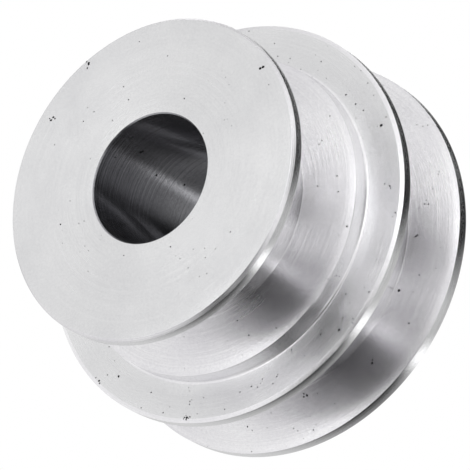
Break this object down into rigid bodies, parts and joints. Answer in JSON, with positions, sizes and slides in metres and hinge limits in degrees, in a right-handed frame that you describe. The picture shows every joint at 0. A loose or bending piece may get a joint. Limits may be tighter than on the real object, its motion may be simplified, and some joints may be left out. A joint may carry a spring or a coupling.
{
  "type": "v belt pulley",
  "caption": "Stepped V-belt pulley in turned aluminium, with a plain through bore, held on its shaft by socket set screws in the floor of the large groove.",
  "frame": {"origin": "middle of the large step's end face, on the shaft axis", "axes": "+Z along the shaft axis from the large step to the small step; the set screws lie along +X and +Y"},
  "size_m": [0.0626, 0.0626, 0.038],
  "materials": {
    "turned_aluminium": "bare, fine turned lay with small casting pores",
    "black_steel": "black oxide, satin"
  },
  "bodies": {
    "pulley": {"pulley_body": "turned_aluminium"},
    "screw_1": {"set_screw_1": "black_steel"},
    "screw_2": {"set_screw_2": "black_steel"}
  },
  "joints": [
    {"name": "set_screw_1_travel", "type": "slide", "parent": "pulley", "child": "screw_1", "axis": [-1, 0, 0], "range_m": [-0.0012, 0.0016]},
    {"name": "set_screw_2_travel", "type": "slide", "parent": "pulley", "child": "screw_2", "axis": [0, -1, 0], "range_m": [-0.0012, 0.0016]}
  ]
}
